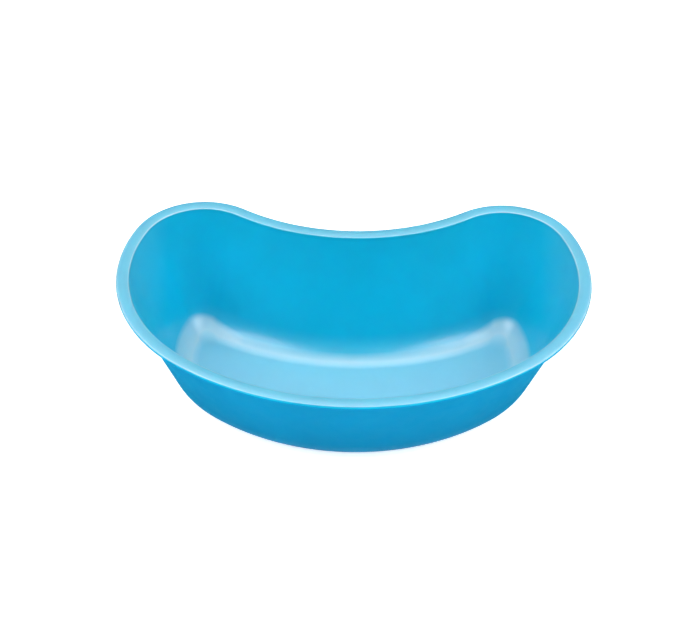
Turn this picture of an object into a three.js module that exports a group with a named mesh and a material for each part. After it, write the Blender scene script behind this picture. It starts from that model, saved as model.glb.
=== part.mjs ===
// Kidney dish (emesis basin): one deep, flared polypropylene moulding.
//
// Millimetres, +Z up. The origin is at the centre of the rim's length and depth, on the plane that
// the dish stands on. The convex front faces -Y and the hollow back faces +Y.
//
// The shape is one section swept round one outline. A point of the section is given by its inset,
// measured inwards from the rim's outer edge, and its height.

import * as THREE from 'three';

// Outline of the rim, seen from above
const LENGTH = 200; // end to end
const DEPTH = 128.8; // front to the tops of the two lobes
const WAIST = 109.8; // front to the hollow back, on the centre line
const FRONT_RADIUS = 118.6;
const SHOULDER_RADIUS = 71.4;
const LOBE_RADIUS = 31.6;
const LOBE_RADIUS_MIN = 5; // the lobes' radius levels off here, far in on the floor
const LOBE_BLEND = 1.6; // how softly it levels off

// Section
const HEIGHT = 53.6;
const WALL = 1.8;
const FLARE = 19.8; // how far the inner wall leans in, from rim to floor
const FLOOR_TOP = 2.4;
const FLOOR_RADIUS = 13.2; // inner radius between wall and floor
const RIM_WIDTH = 5.3; // rim's outer edge to the inner wall
const RIM_THICKNESS = 1.8;
const RIM_CROWN = 0.3; // how far the rim's top falls towards both edges
const RIM_ROUND = 0.75;
const RIM_UNDER_ROUND = 0.4;
const UNDER_RIM_RADIUS = 0.6; // between the rim's underside and the outer wall
const RECESS_INSET = 40; // edge of the shallow recess under the floor
const RECESS_DEPTH = 0.6;

// Mark left by the mould's gate, under the floor's centre
const GATE_RADIUS = 2.5;
const GATE_HEIGHT = 0.35;

const COLOUR = 0x2aaee2;

const HALF_TURN = Math.PI;
const QUARTER_TURN = Math.PI / 2;

// ---------------------------------------------------------------- outline

// Every arc touches the next one smoothly: front, shoulder and lobe bend outwards, and the back
// bends inwards. All of them follow from the six outline dimensions above.
const frontCentre = new THREE.Vector2(0, FRONT_RADIUS - DEPTH / 2);
const shoulderCentre = new THREE.Vector2(LENGTH / 2 - SHOULDER_RADIUS, 0);
shoulderCentre.y = frontCentre.y - leg(FRONT_RADIUS - SHOULDER_RADIUS, shoulderCentre.x);
const lobeCentre = new THREE.Vector2(0, DEPTH / 2 - LOBE_RADIUS);
lobeCentre.x = shoulderCentre.x
  + leg(SHOULDER_RADIUS - LOBE_RADIUS, lobeCentre.y - shoulderCentre.y);
const hollowY = WAIST - DEPTH / 2;
const drop = hollowY - lobeCentre.y;
const BACK_RADIUS = (lobeCentre.x ** 2 + drop ** 2 - LOBE_RADIUS ** 2) / (2 * (LOBE_RADIUS - drop));
const backCentre = new THREE.Vector2(0, hollowY + BACK_RADIUS);

function leg(hypotenuse, otherLeg) {
  return Math.sqrt(hypotenuse ** 2 - otherLeg ** 2);
}

function bearing(from, to) {
  return Math.atan2(to.y - from.y, to.x - from.x);
}

// The lobe's radius at an inset shrinks with the inset, then levels off smoothly.
function lobeRadiusAt(inset) {
  const spare = (LOBE_RADIUS - inset - LOBE_RADIUS_MIN) / LOBE_BLEND;
  return LOBE_RADIUS_MIN + LOBE_BLEND * Math.log1p(Math.exp(spare));
}

// Centre of the circle that touches the shoulder from inside and the back from outside.
function lobeCentreAt(inset, radius) {
  const reach = SHOULDER_RADIUS - inset - radius;
  const backReach = BACK_RADIUS + inset + radius;
  const span = shoulderCentre.distanceTo(backCentre);
  const along = (reach ** 2 - backReach ** 2 + span ** 2) / (2 * span);
  const across = leg(reach, along);
  const direction = backCentre.clone().sub(shoulderCentre).normalize();
  const side = new THREE.Vector2(direction.y, -direction.x);
  return shoulderCentre.clone().addScaledVector(direction, along).addScaledVector(side, across);
}

// Closed ring of points at an inset, anticlockwise from the middle of the front.
function outline(inset) {
  const lobeRadius = lobeRadiusAt(inset);
  const lobe = lobeCentreAt(inset, lobeRadius);
  const toShoulder = bearing(frontCentre, shoulderCentre);
  const toLobe = bearing(shoulderCentre, lobe);
  const toBack = bearing(backCentre, lobe);
  const arcs = [
    [frontCentre, FRONT_RADIUS - inset, -QUARTER_TURN, toShoulder, 8],
    [shoulderCentre, SHOULDER_RADIUS - inset, toShoulder, toLobe, 10],
    [lobe, lobeRadius, toLobe, QUARTER_TURN, 9],
    [lobe, lobeRadius, QUARTER_TURN, toBack + HALF_TURN, 4],
    [backCentre, BACK_RADIUS + inset, toBack, -QUARTER_TURN, 6],
  ];
  const half = [];
  for (const [centre, radius, from, to, steps] of arcs) {
    const arc = new THREE.EllipseCurve(centre.x, centre.y, radius, radius, from, to, to < from);
    half.push(...arc.getPoints(steps).slice(1));
  }
  const front = new THREE.Vector2(0, frontCentre.y - FRONT_RADIUS + inset);
  const mirrored = half.slice(0, -1).reverse().map((point) => new THREE.Vector2(-point.x, point.y));
  return [front, ...half, ...mirrored];
}

// ---------------------------------------------------------------- section

// Replaces each corner that has a radius by an arc that touches both of its sides.
function roundCorners(corners) {
  const points = [];
  corners.forEach(([inset, height, radius = 0, steps = 3], index) => {
    const corner = new THREE.Vector2(inset, height);
    if (radius === 0) {
      points.push(corner);
      return;
    }
    const before = new THREE.Vector2(...corners[index - 1]).sub(corner).normalize();
    const after = new THREE.Vector2(...corners[index + 1]).sub(corner).normalize();
    const halfAngle = Math.acos(before.dot(after)) / 2;
    const middle = before.clone().add(after).normalize();
    const centre = corner.clone().addScaledVector(middle, radius / Math.sin(halfAngle));
    const tangent = radius / Math.tan(halfAngle);
    const start = bearing(centre, corner.clone().addScaledVector(before, tangent));
    const end = bearing(centre, corner.clone().addScaledVector(after, tangent));
    const sweep = Math.atan2(Math.sin(end - start), Math.cos(end - start));
    for (let step = 0; step <= steps; step += 1) {
      const angle = start + (sweep * step) / steps;
      points.push(new THREE.Vector2(Math.cos(angle), Math.sin(angle)).multiplyScalar(radius).add(centre));
    }
  });
  return points;
}

// From the floor's edge up the inside, over the rim and down the outside to the recess.
function section() {
  const lean = FLARE / (HEIGHT - FLOOR_TOP); // inset gained for each millimetre down the wall
  const slope = Math.atan2(HEIGHT - FLOOR_TOP, FLARE);
  const outerShift = WALL / Math.sin(slope);
  const outerInset = (height) => RIM_WIDTH - outerShift + (HEIGHT - height) * lean;
  const floorCorner = RIM_WIDTH + FLARE;
  const floorEdge = floorCorner + FLOOR_RADIUS * Math.tan(slope / 2);
  const rimUnder = HEIGHT - RIM_THICKNESS;
  const rimEdge = HEIGHT - RIM_CROWN;
  return roundCorners([
    [floorEdge, FLOOR_TOP],
    [floorCorner, FLOOR_TOP, FLOOR_RADIUS, 8],
    [RIM_WIDTH, rimEdge, RIM_ROUND],
    [RIM_WIDTH / 2, HEIGHT],
    [0, rimEdge, RIM_ROUND],
    [0, rimUnder, RIM_UNDER_ROUND],
    [outerInset(rimUnder), rimUnder, UNDER_RIM_RADIUS],
    [outerInset(0), 0, FLOOR_RADIUS + WALL, 8],
    [RECESS_INSET, 0],
    [RECESS_INSET + RECESS_DEPTH, RECESS_DEPTH],
  ]).slice(1);
}

// ---------------------------------------------------------------- solid

class Skin {
  constructor() {
    this.positions = [];
    this.triangles = [];
  }

  // Adds a closed ring of points at one height and returns it.
  ring(points, height) {
    const first = this.positions.length / 3;
    for (const { x, y } of points) this.positions.push(x, y, height);
    return { points, indices: points.map((_, index) => first + index) };
  }

  // Joins two rings with the same number of points.
  band(from, to) {
    const count = from.indices.length;
    for (let index = 0; index < count; index += 1) {
      const next = (index + 1) % count;
      this.triangles.push(from.indices[index], to.indices[index], to.indices[next]);
      this.triangles.push(from.indices[index], to.indices[next], from.indices[next]);
    }
  }

  // Closes a ring with a flat face, round a smaller ring if there is one.
  cap(ring, facesUp, hole) {
    const indices = hole ? [...ring.indices, ...hole.indices] : ring.indices;
    const faces = THREE.ShapeUtils.triangulateShape(ring.points, hole ? [hole.points] : []);
    for (const face of faces) {
      const corners = facesUp ? face : [...face].reverse();
      this.triangles.push(...corners.map((corner) => indices[corner]));
    }
  }

  geometry() {
    const geometry = new THREE.BufferGeometry();
    geometry.setAttribute('position', new THREE.Float32BufferAttribute(this.positions, 3));
    geometry.setIndex(this.triangles);
    geometry.computeVertexNormals();
    return geometry;
  }
}

function dishGeometry() {
  const skin = new Skin();
  const rings = section().map(({ x, y }) => skin.ring(outline(x), y));
  for (let index = 1; index < rings.length; index += 1) {
    skin.band(rings[index - 1], rings[index]);
  }
  skin.cap(rings[0], true);

  const middle = (WAIST - DEPTH) / 2;
  const circle = new THREE.EllipseCurve(0, middle, GATE_RADIUS, GATE_RADIUS).getPoints(16).slice(1);
  const gateTop = skin.ring(circle, RECESS_DEPTH);
  const gateTip = skin.ring(circle, RECESS_DEPTH - GATE_HEIGHT);
  skin.cap(rings.at(-1), false, gateTop);
  skin.band(gateTop, gateTip);
  skin.cap(gateTip, false);
  return skin.geometry();
}

const polypropylene = new THREE.MeshStandardMaterial({
  color: COLOUR,
  roughness: 0.3,
  metalness: 0,
});

const dish = new THREE.Mesh(dishGeometry(), polypropylene);
dish.name = 'dish';

const kidneyDish = new THREE.Group();
kidneyDish.add(dish);

export default kidneyDish;
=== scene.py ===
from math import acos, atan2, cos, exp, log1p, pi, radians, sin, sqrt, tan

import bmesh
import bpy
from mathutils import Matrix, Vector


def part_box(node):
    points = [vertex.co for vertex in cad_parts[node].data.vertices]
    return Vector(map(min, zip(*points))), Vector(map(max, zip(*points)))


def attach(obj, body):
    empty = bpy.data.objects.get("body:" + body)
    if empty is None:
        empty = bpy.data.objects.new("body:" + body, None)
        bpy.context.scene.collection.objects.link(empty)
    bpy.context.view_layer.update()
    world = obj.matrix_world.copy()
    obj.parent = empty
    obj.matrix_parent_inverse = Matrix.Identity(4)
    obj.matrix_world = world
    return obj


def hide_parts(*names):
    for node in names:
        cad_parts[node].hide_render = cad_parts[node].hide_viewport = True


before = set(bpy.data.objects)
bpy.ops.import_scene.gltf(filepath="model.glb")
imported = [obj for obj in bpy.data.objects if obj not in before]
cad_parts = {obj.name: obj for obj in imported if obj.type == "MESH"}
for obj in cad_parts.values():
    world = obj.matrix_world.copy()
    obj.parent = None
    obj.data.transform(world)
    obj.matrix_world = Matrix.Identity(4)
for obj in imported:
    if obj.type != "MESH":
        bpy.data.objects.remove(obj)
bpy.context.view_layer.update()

# Kidney dish in sky-blue polypropylene, one moulding.
# Metres, +Z up, in the frame's own axes: the convex front faces -Y and the hollow back faces +Y.
# The skin is one section swept round one outline. A point of the section is given by its inset,
# measured inwards from the rim's outer edge, and its height.

low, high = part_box("dish")
middle = (low + high) / 2

# Outline of the rim, seen from above
LENGTH = high.x - low.x
DEPTH = high.y - low.y
WAIST = 0.1098
FRONT_RADIUS = 0.1186
SHOULDER_RADIUS = 0.0714
LOBE_RADIUS = 0.0316
LOBE_RADIUS_MIN = 0.005
LOBE_BLEND = 0.0016

# Section
HEIGHT = high.z - low.z
WALL = 0.0018
FLARE = 0.0198
FLOOR_TOP = 0.0024
FLOOR_RADIUS = 0.0132
OUTER_RADIUS = FLOOR_RADIUS + WALL
RIM_WIDTH = 0.0053
RIM_THICKNESS = 0.0018
RIM_CROWN = 0.0003
RIM_ROUND = 0.00075
RIM_UNDER_ROUND = 0.0004
UNDER_RIM_RADIUS = 0.0006
SOFT_EDGE = 0.00035
RECESS_INSET = 0.040
RECESS_DEPTH = 0.0006
RECESS_MARGIN = 3 * RECESS_DEPTH  # width of the recess's sloped edge and the flat ring inside it
PARTING_LINE = 0.00012  # height of the fine seam round the rim's edge

# Gate mark under the floor. Its profile runs from the root to the bottom of a dimple, as shares of
# the radius and of the height that it stands below the recess.
GATE_RADIUS = 0.0025
GATE_HEIGHT = 0.00035
GATE_PROFILE = ((1.1, -0.5), (1, 0.7), (0.88, 1), (0.45, 1), (0.3, 0.5))

# Fineness of the mesh. The outline has as many steps before each lobe's tip as after it.
FRONT_STEPS = 12
SHOULDER_STEPS = 16
NEAR_LOBE_STEPS = 10
FAR_LOBE_STEPS = 12
BACK_STEPS = FRONT_STEPS + SHOULDER_STEPS + NEAR_LOBE_STEPS - FAR_LOBE_STEPS
FLOOR_ROUND_STEPS = 18
RIM_STEPS = 6
UNDER_RIM_STEPS = 4
SOFT_EDGE_STEPS = 3
GATE_STEPS = 32
LONGEST_STEP = 0.005  # longest straight stretch of the section between two rings

QUARTER_TURN = pi / 2


# ---------------------------------------------------------------- outline


def leg(hypotenuse, other_leg):
    return sqrt(hypotenuse**2 - other_leg**2)


def bearing(start, end):
    return atan2(end.y - start.y, end.x - start.x)


def on_circle(centre, radius, angle):
    return centre + radius * Vector((cos(angle), sin(angle)))


front_centre = Vector((0, FRONT_RADIUS - DEPTH / 2))
shoulder_x = LENGTH / 2 - SHOULDER_RADIUS
shoulder_y = front_centre.y - leg(FRONT_RADIUS - SHOULDER_RADIUS, shoulder_x)
shoulder_centre = Vector((shoulder_x, shoulder_y))
lobe_y = DEPTH / 2 - LOBE_RADIUS
lobe_x = shoulder_x + leg(SHOULDER_RADIUS - LOBE_RADIUS, lobe_y - shoulder_y)
hollow_y = WAIST - DEPTH / 2
drop = hollow_y - lobe_y
BACK_RADIUS = (lobe_x**2 + drop**2 - LOBE_RADIUS**2) / (2 * (LOBE_RADIUS - drop))
back_centre = Vector((0, hollow_y + BACK_RADIUS))


def lobe_radius_at(inset):
    """The lobe's radius shrinks with the inset, then levels off smoothly."""
    spare = (LOBE_RADIUS - inset - LOBE_RADIUS_MIN) / LOBE_BLEND
    return LOBE_RADIUS_MIN + LOBE_BLEND * log1p(exp(spare))


def lobe_centre_at(inset, radius):
    """Centre of the circle that touches the shoulder from inside and the back from outside."""
    reach = SHOULDER_RADIUS - inset - radius
    back_reach = BACK_RADIUS + inset + radius
    across = back_centre - shoulder_centre
    span = across.length
    along = (reach**2 - back_reach**2 + span**2) / (2 * span)
    direction = across.normalized()
    side = Vector((direction.y, -direction.x))
    return shoulder_centre + direction * along + side * leg(reach, along)


def outline(inset):
    """Closed ring of points at an inset, anticlockwise from the middle of the front."""
    radius = lobe_radius_at(inset)
    lobe = lobe_centre_at(inset, radius)
    to_shoulder = bearing(front_centre, shoulder_centre)
    to_lobe = bearing(shoulder_centre, lobe)
    to_back = bearing(back_centre, lobe)
    tip = (to_lobe + to_back + pi) / 2
    arcs = (
        (front_centre, FRONT_RADIUS - inset, -QUARTER_TURN, to_shoulder, FRONT_STEPS),
        (shoulder_centre, SHOULDER_RADIUS - inset, to_shoulder, to_lobe, SHOULDER_STEPS),
        (lobe, radius, to_lobe, tip, NEAR_LOBE_STEPS),
        (lobe, radius, tip, to_back + pi, FAR_LOBE_STEPS),
        (back_centre, BACK_RADIUS + inset, to_back, -QUARTER_TURN, BACK_STEPS),
    )
    half = [on_circle(front_centre, FRONT_RADIUS - inset, -QUARTER_TURN)]
    for centre, arc_radius, start, end, steps in arcs:
        for step in range(1, steps + 1):
            half.append(on_circle(centre, arc_radius, start + (end - start) * step / steps))
    mirrored = [Vector((-point.x, point.y)) for point in reversed(half[1:-1])]
    return half + mirrored


# ---------------------------------------------------------------- section


def rounded(corners):
    """Replaces each corner that has a radius by an arc that touches both of its sides.

    A corner is (inset, height, radius, steps of the arc).
    """
    points = []
    for index, (inset, height, radius, steps) in enumerate(corners):
        corner = Vector((inset, height))
        if radius == 0:
            points.append(corner)
            continue
        before = (Vector(corners[index - 1][:2]) - corner).normalized()
        after = (Vector(corners[index + 1][:2]) - corner).normalized()
        half_angle = acos(before.dot(after)) / 2
        centre = corner + (before + after).normalized() * radius / sin(half_angle)
        tangent = radius / tan(half_angle)
        start = bearing(centre, corner + before * tangent)
        end = bearing(centre, corner + after * tangent)
        sweep = atan2(sin(end - start), cos(end - start))
        points += [on_circle(centre, radius, start + sweep * step / steps) for step in range(steps + 1)]
    return points


def spaced(points, longest):
    """Splits stretches that are longer than the given length."""
    result = [points[0]]
    for start, end in zip(points, points[1:]):
        pieces = int((end - start).length / longest) + 1
        result += [start.lerp(end, piece / pieces) for piece in range(1, pieces + 1)]
    return result


def section():
    """Points up the inside to the rim's edge, and points from there down to the recess."""
    rise = HEIGHT - FLOOR_TOP
    slope = atan2(rise, FLARE)
    outer_shift = WALL / sin(slope)
    floor_corner = RIM_WIDTH + FLARE
    floor_edge = floor_corner + FLOOR_RADIUS * tan(slope / 2)
    rim_under = HEIGHT - RIM_THICKNESS
    rim_edge = HEIGHT - RIM_CROWN
    seam = rim_edge - RIM_ROUND - PARTING_LINE / 2

    def outer_inset(height):
        return RIM_WIDTH - outer_shift + (HEIGHT - height) * FLARE / rise

    # The first corner only gives the floor's round a side to touch, and is left out below
    inside = [
        (floor_edge, FLOOR_TOP, 0, 0),
        (floor_corner, FLOOR_TOP, FLOOR_RADIUS, FLOOR_ROUND_STEPS),
        (RIM_WIDTH, rim_edge, RIM_ROUND, RIM_STEPS),
        (RIM_WIDTH / 2, HEIGHT, 0, 0),
        (0, rim_edge, RIM_ROUND, RIM_STEPS),
        (0, seam, 0, 0),
    ]
    outside = [
        (0, seam, 0, 0),
        (-PARTING_LINE, seam - PARTING_LINE, 0, 0),
        (0, seam - 2 * PARTING_LINE, 0, 0),
        (0, rim_under, RIM_UNDER_ROUND, UNDER_RIM_STEPS),
        (outer_inset(rim_under), rim_under, UNDER_RIM_RADIUS, UNDER_RIM_STEPS),
        (outer_inset(0), 0, OUTER_RADIUS, FLOOR_ROUND_STEPS),
        (RECESS_INSET, 0, SOFT_EDGE, SOFT_EDGE_STEPS),
        (RECESS_INSET + RECESS_DEPTH, RECESS_DEPTH, SOFT_EDGE, SOFT_EDGE_STEPS),
        (RECESS_INSET + RECESS_MARGIN, RECESS_DEPTH, 0, 0),
    ]
    return spaced(rounded(inside)[1:], LONGEST_STEP), spaced(rounded(outside), LONGEST_STEP)


# ---------------------------------------------------------------- mesh


def add_ring(mesh, points, height):
    return [mesh.verts.new((point.x, point.y, height)) for point in points]


def add_band(mesh, first, second, material):
    count = len(first)
    for index in range(count):
        after = (index + 1) % count
        face = mesh.faces.new((first[index], second[index], second[after], first[after]))
        face.material_index = material


def add_floor(mesh, ring, material, faces_up):
    """Fills a kidney ring with rungs from its front edge to its back edge."""
    count = len(ring)
    half = count // 2
    for side in (1, -1):
        for rung in range(half // 2):
            front = ring[side * rung % count]
            front_next = ring[side * (rung + 1) % count]
            back = ring[side * (half - rung) % count]
            back_next = ring[side * (half - rung - 1) % count]
            corners = [front, front_next, back_next, back]
            if front_next is back_next:
                corners = [front, front_next, back]
            if (side == 1) != faces_up:
                corners.reverse()
            mesh.faces.new(corners).material_index = material


def add_gate_mark(mesh, centre, material):
    """Low button with a dimple, left where the gate was cut off."""
    turns = [2 * pi * step / GATE_STEPS for step in range(GATE_STEPS)]
    rings = []
    for across, down in GATE_PROFILE:
        circle = [on_circle(centre, GATE_RADIUS * across, turn) for turn in turns]
        rings.append(add_ring(mesh, circle, RECESS_DEPTH - GATE_HEIGHT * down))
    for first, second in zip(rings, rings[1:]):
        add_band(mesh, first, second, material)
    mesh.faces.new(reversed(rings[-1])).material_index = material


# Material slots
INSIDE = 0
OUTSIDE = 1


def make_dish():
    mesh = bmesh.new()
    inside, outside = section()
    inner_rings = [add_ring(mesh, outline(point.x), point.y) for point in inside]
    outer_rings = [add_ring(mesh, outline(point.x), point.y) for point in outside[1:]]
    for first, second in zip(inner_rings, inner_rings[1:]):
        add_band(mesh, first, second, INSIDE)
    for first, second in zip(inner_rings[-1:] + outer_rings, outer_rings):
        add_band(mesh, first, second, OUTSIDE)
    add_floor(mesh, inner_rings[0], INSIDE, True)
    add_floor(mesh, outer_rings[-1], OUTSIDE, False)
    add_gate_mark(mesh, Vector((0, (WAIST - DEPTH) / 2)), OUTSIDE)
    for face in mesh.faces:
        face.smooth = True
    data = bpy.data.meshes.new("kidney_dish")
    mesh.to_mesh(data)
    mesh.free()
    dish = bpy.data.objects.new("kidney_dish", data)
    bpy.context.scene.collection.objects.link(dish)
    fine = dish.modifiers.new("fine", "SUBSURF")
    fine.levels = 1
    fine.render_levels = 1
    return dish


# ---------------------------------------------------------------- nodes


def plug(tree, value, socket):
    """Links another node's output to a socket, or sets a constant on it."""
    if isinstance(value, bpy.types.NodeSocket):
        tree.links.new(value, socket)
    else:
        socket.default_value = value


def split(tree, vector):
    axes = tree.nodes.new("ShaderNodeSeparateXYZ")
    plug(tree, vector, axes.inputs["Vector"])
    return axes.outputs


def noise(tree, place, cells_per_metre, detail):
    texture = tree.nodes.new("ShaderNodeTexNoise")
    texture.inputs["Scale"].default_value = cells_per_metre
    texture.inputs["Detail"].default_value = detail
    plug(tree, place, texture.inputs["Vector"])
    return texture.outputs["Fac"]


def remap(tree, value, span, results):
    """Maps a span of values to a span of results, and holds the values outside it."""
    ramp = tree.nodes.new("ShaderNodeMapRange")
    ramp.inputs["From Min"].default_value = span[0]
    ramp.inputs["From Max"].default_value = span[1]
    ramp.inputs["To Min"].default_value = results[0]
    ramp.inputs["To Max"].default_value = results[1]
    plug(tree, value, ramp.inputs["Value"])
    return ramp.outputs["Result"]


def maths(tree, operation, *values):
    """A sum, product or absolute value."""
    node = tree.nodes.new("ShaderNodeMath")
    node.operation = operation
    for value, socket in zip(values, node.inputs):
        plug(tree, value, socket)
    return node.outputs["Value"]


def blend(tree, first, second, share):
    """Goes from the first colour to the second as the share grows from 0 to 1."""
    mix = tree.nodes.new("ShaderNodeMix")
    mix.data_type = "RGBA"
    plug(tree, first, mix.inputs["A"])
    plug(tree, second, mix.inputs["B"])
    plug(tree, share, mix.inputs["Factor"])
    return mix.outputs["Result"]


def scale(tree, colour, factor):
    product = tree.nodes.new("ShaderNodeVectorMath")
    product.operation = "SCALE"
    plug(tree, colour, product.inputs[0])
    plug(tree, factor, product.inputs["Scale"])
    return product.outputs["Vector"]


# ---------------------------------------------------------------- plastic

# A span gives the start and the end of a change. Heights, and distances from the middle plane, are in
# metres. Tilts are the Z of the surface's normal, which is 1 where the surface faces straight up.

# Noise textures: cells per metre and detail
PIGMENT_NOISE = (38, 3)
SHEEN_NOISE = (120, 4)
WAVE_NOISE = (30, 1)
GRAIN_NOISE = (2600, 2)
NOISE_SPAN = (0.3, 0.7)
BUMP_STRENGTH = 0.5
WAVE_DEPTH = 0.0004

# Colour, with painted shade that darkens it towards the foot and on the rim
THIN_PIGMENT = 0.96
THICK_PIGMENT = 1.03
FOOT_SPAN = (0, 0.035)
RIM_FADE = 0.001
RIM_SPAN = (HEIGHT - RIM_THICKNESS, HEIGHT - RIM_THICKNESS + RIM_FADE)
RIM_SHADE = 0.86

# Painted sheen: a pale colour mixed into the body colour in place of the lamps' gloss
PAINTED_SHEEN_COLOUR = (0.56, 0.60, 0.60, 1)
NEAR_END_SPAN = (0.048, 0.073)
NEAR_END_TILT = 0.33  # added to the tilt at the dish's two ends, so that steeper corners there also get the painted sheen and the scuffs
SHEEN_CORNER_TILTS = (0.78, 0.96)
SHEEN_CORNER_SHARE = 0.28
# A fainter painted sheen on the end walls
END_SPAN = (0.081, 0.095)
END_SHARE = 0.08
LEVEL_TILTS = (0.94, 0.998)  # the painted sheen of corners and ends fades out as the surface gets level
# Painted sheen on the floor, fading out a little above it
FLOOR_SHEEN_SPAN = (0.003, 0.012)
FLOOR_SHEEN_SHARE = 0.075

# Scuffs, which change the sheen
SHEEN_PATCHES = (0.9, 1.12)
SCUFFED_TILTS = (0.78, 0.97)
SCUFFED_ROUGHNESS = 0.53
SCUFFED_SPECULAR = 0.95


def pigment_with_painted_shade(tree, place, height, shade, foot_shade):
    """Pigment that isn't quite evenly spread, darkened near the foot and on the rim as painted shade."""
    thin = (*[channel * THIN_PIGMENT for channel in shade], 1)
    thick = (*[channel * THICK_PIGMENT for channel in shade], 1)
    spread = remap(tree, noise(tree, place, *PIGMENT_NOISE), NOISE_SPAN, (0, 1))
    pigment = blend(tree, thin, thick, spread)
    foot_painted_shade = remap(tree, height, FOOT_SPAN, (foot_shade, 1))
    rim_painted_shade = remap(tree, height, RIM_SPAN, (1, RIM_SHADE))
    return scale(tree, pigment, maths(tree, "MULTIPLY", foot_painted_shade, rim_painted_shade))


def painted_sheen_share(tree, tilt, reach, towards_end, height):
    """Share of painted sheen, a pale colour in place of the lamps' gloss: on rounded corners, at the two
    ends and near the floor.
    """
    corners = remap(tree, reach, SHEEN_CORNER_TILTS, (0, SHEEN_CORNER_SHARE))
    ends = remap(tree, towards_end, END_SPAN, (0, END_SHARE))
    not_level = remap(tree, tilt, LEVEL_TILTS, (1, 0))
    floor_sheen = remap(tree, height, FLOOR_SHEEN_SPAN, (FLOOR_SHEEN_SHARE, 0))
    off_the_level = maths(tree, "MULTIPLY", maths(tree, "ADD", corners, ends), not_level)
    return maths(tree, "ADD", off_the_level, floor_sheen)


def add_bump(tree, height, depth):
    bump = tree.nodes.new("ShaderNodeBump")
    bump.inputs["Strength"].default_value = BUMP_STRENGTH
    bump.inputs["Distance"].default_value = depth
    plug(tree, height, bump.inputs["Height"])
    return bump


def moulded_texture(tree, place, grain):
    """Slow waviness of a cooled wall, under a fine grain."""
    waves = add_bump(tree, noise(tree, place, *WAVE_NOISE), WAVE_DEPTH)
    fine = add_bump(tree, noise(tree, place, *GRAIN_NOISE), grain)
    plug(tree, waves.outputs["Normal"], fine.inputs["Normal"])
    return fine.outputs["Normal"]


def polypropylene(name, shade, foot_shade, roughness, specular, coat, grain):
    """Satin blue plastic, whose level places and upward corners are scuffed by use; its colour holds a pale
    painted sheen and painted shade.

    foot_shade darkens the colour near the foot as painted shade, and grain is the depth of the fine texture
    in metres.
    """
    material = bpy.data.materials.new(name)
    material.use_nodes = True
    tree = material.node_tree
    shader = tree.nodes["Principled BSDF"]
    coordinates = tree.nodes.new("ShaderNodeTexCoord")
    place = coordinates.outputs["Object"]
    spot = split(tree, place)
    tilt = split(tree, coordinates.outputs["Normal"])["Z"]
    towards_end = maths(tree, "ABSOLUTE", spot["X"])
    near_end = remap(tree, towards_end, NEAR_END_SPAN, (0, NEAR_END_TILT))
    reach = maths(tree, "ADD", tilt, near_end)

    # The colour carries painted shade near the foot and on the rim
    colour = pigment_with_painted_shade(tree, place, spot["Z"], shade, foot_shade)
    # Painted sheen: pale colour standing in for the lamps' gloss on the floor, corners and ends
    painted_sheen = painted_sheen_share(tree, tilt, reach, towards_end, spot["Z"])
    plug(tree, blend(tree, colour, PAINTED_SHEEN_COLOUR, painted_sheen), shader.inputs["Base Color"])

    patches = remap(tree, noise(tree, place, *SHEEN_NOISE), NOISE_SPAN, SHEEN_PATCHES)
    scuffed_roughness = remap(tree, reach, SCUFFED_TILTS, (roughness, SCUFFED_ROUGHNESS))
    scuffed_specular = remap(tree, reach, SCUFFED_TILTS, (specular, SCUFFED_SPECULAR))
    plug(tree, maths(tree, "MULTIPLY", patches, scuffed_roughness), shader.inputs["Roughness"])
    plug(tree, scuffed_specular, shader.inputs["Specular IOR Level"])
    plug(tree, moulded_texture(tree, place, grain), shader.inputs["Normal"])

    shader.inputs["IOR"].default_value = 1.49
    shader.inputs["Coat Weight"].default_value = coat
    shader.inputs["Coat Roughness"].default_value = 0.2
    shader.inputs["Subsurface Weight"].default_value = 0.8
    shader.inputs["Subsurface Radius"].default_value = (0.2, 0.8, 1.0)
    shader.inputs["Subsurface Scale"].default_value = 0.003
    return material


# ---------------------------------------------------------------- stage, light and camera

WHITE = (1, 1, 1, 1)
PALE_PAINT = (0.9, 0.9, 0.9, 1)
FLOOR_SIZE = 6
FLOOR_GAP = 0.0001  # keeps the floor just clear of the foot

# The surroundings brighten towards the sky behind the dish
SKY_BEHIND = (0, 1, 1)
SKY_SPAN = (0.2, 1.0)
SKY_STRENGTHS = (0.08, 0.36)

CAMERA_SENSOR = 36  # millimetres
CAMERA_LENS = 105.26  # millimetres
CAMERA_ELEVATION = 41.64
CAMERA_ROLL = 0.71
CAMERA_DISTANCE = 0.880
CAMERA_AIM = Vector((-0.00142, 0.01827, 0))  # from the middle of the dish


def make_floor():
    bpy.ops.mesh.primitive_plane_add(size=FLOOR_SIZE, location=(0, 0, low.z - FLOOR_GAP))
    floor = bpy.context.object
    floor.name = "floor"
    paint = bpy.data.materials.new("pale_floor")
    paint.use_nodes = True
    shader = paint.node_tree.nodes["Principled BSDF"]
    shader.inputs["Base Color"].default_value = PALE_PAINT
    shader.inputs["Roughness"].default_value = 0.9
    shader.inputs["Specular IOR Level"].default_value = 0.1
    shader.inputs["Emission Color"].default_value = WHITE
    shader.inputs["Emission Strength"].default_value = 0.6
    floor.visible_glossy = False
    floor.data.materials.append(paint)


def sphere_point(centre, azimuth, elevation, distance):
    """Azimuth 0 is in front of the dish, at -Y, and 90 is at +X."""
    turn = radians(azimuth)
    rise = radians(elevation)
    away = Vector((sin(turn) * cos(rise), -cos(turn) * cos(rise), sin(rise)))
    return centre + away * distance


def aim(thing, place, target, roll=0):
    thing.location = place
    thing.rotation_euler = (target - place).to_track_quat("-Z", "Y").to_euler()
    thing.rotation_euler.rotate_axis("Z", radians(roll))


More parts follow.
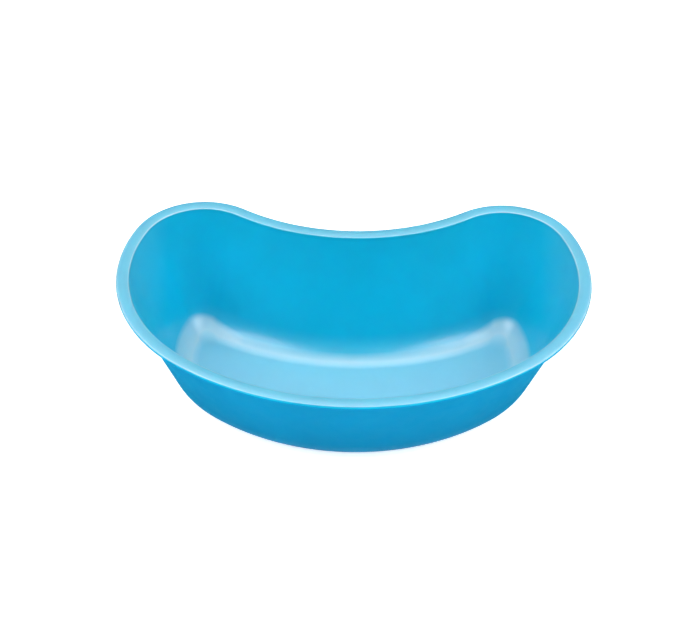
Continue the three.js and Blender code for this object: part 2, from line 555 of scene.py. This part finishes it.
def add_softbox(name, azimuth, elevation, distance, width, height, brightness):
    """Flat lamp aimed at the dish. Its power follows its area, so a larger one is just as bright to see."""
    lamp = bpy.data.lights.new(name, "AREA")
    lamp.shape = "RECTANGLE"
    lamp.size = width
    lamp.size_y = height
    lamp.energy = brightness * pi * width * height
    box = bpy.data.objects.new(name, lamp)
    bpy.context.scene.collection.objects.link(box)
    aim(box, sphere_point(middle, azimuth, elevation, distance), middle)
    box.visible_camera = False
    return box


def add_panel(name, **placing):
    """Softbox that lights only the gloss."""
    add_softbox(name, **placing).visible_diffuse = False


def add_fill(name, **placing):
    """Softbox that lights only the body colour."""
    add_softbox(name, **placing).visible_glossy = False


def make_world():
    world = bpy.data.worlds.new("studio")
    bpy.context.scene.world = world
    world.use_nodes = True
    tree = world.node_tree
    background = tree.nodes["Background"]
    direction = tree.nodes.new("ShaderNodeTexCoord").outputs["Generated"]
    towards_sky = tree.nodes.new("ShaderNodeVectorMath")
    towards_sky.operation = "DOT_PRODUCT"
    towards_sky.inputs[1].default_value = SKY_BEHIND
    plug(tree, direction, towards_sky.inputs[0])
    strength = remap(tree, towards_sky.outputs["Value"], SKY_SPAN, SKY_STRENGTHS)
    plug(tree, strength, background.inputs["Strength"])
    background.inputs["Color"].default_value = WHITE


def make_lamps():
    add_panel("back_panel", azimuth=180, elevation=68, distance=1.6, width=5.0, height=0.9, brightness=6.2)
    add_fill("front_fill", azimuth=0, elevation=42, distance=2.0, width=2.0, height=1.6, brightness=1.95)
    for side in (-1, 1):
        add_panel(
            "side_panel",
            azimuth=side * 65,
            elevation=50,
            distance=1.8,
            width=1.2,
            height=1.0,
            brightness=11.0,
        )
        add_fill(
            "side_fill",
            azimuth=side * 83,
            elevation=46,
            distance=2.0,
            width=1.8,
            height=1.4,
            brightness=3.5,
        )


def make_camera():
    data = bpy.data.cameras.new("camera")
    data.sensor_width = CAMERA_SENSOR
    data.lens = CAMERA_LENS
    camera = bpy.data.objects.new("camera", data)
    bpy.context.scene.collection.objects.link(camera)
    target = middle + CAMERA_AIM
    aim(camera, sphere_point(target, 0, CAMERA_ELEVATION, CAMERA_DISTANCE), target, CAMERA_ROLL)
    bpy.context.scene.camera = camera


# The inside's foot_shade darkens the floor and lower wall as painted shade
inside_plastic = polypropylene(
    "polypropylene_inside",
    shade=(0, 0.42, 0.605),
    foot_shade=0.91,
    roughness=0.34,
    specular=0.3,
    coat=0.12,
    grain=0.00001,
)
# The outside's shade is much darker than the inside's and its foot_shade deeper: painted shade for the side
# facing down and away from the lamps
outside_plastic = polypropylene(
    "polypropylene_outside",
    shade=(0, 0.225, 0.43),
    foot_shade=0.78,
    roughness=0.5,
    specular=0.1,
    coat=0,
    grain=0.00002,
)

dish = make_dish()
dish.data.materials.append(inside_plastic)
dish.data.materials.append(outside_plastic)
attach(dish, "root")
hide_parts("dish")

make_floor()
make_world()
make_lamps()
make_camera()
bpy.context.scene.view_settings.view_transform = "Standard"
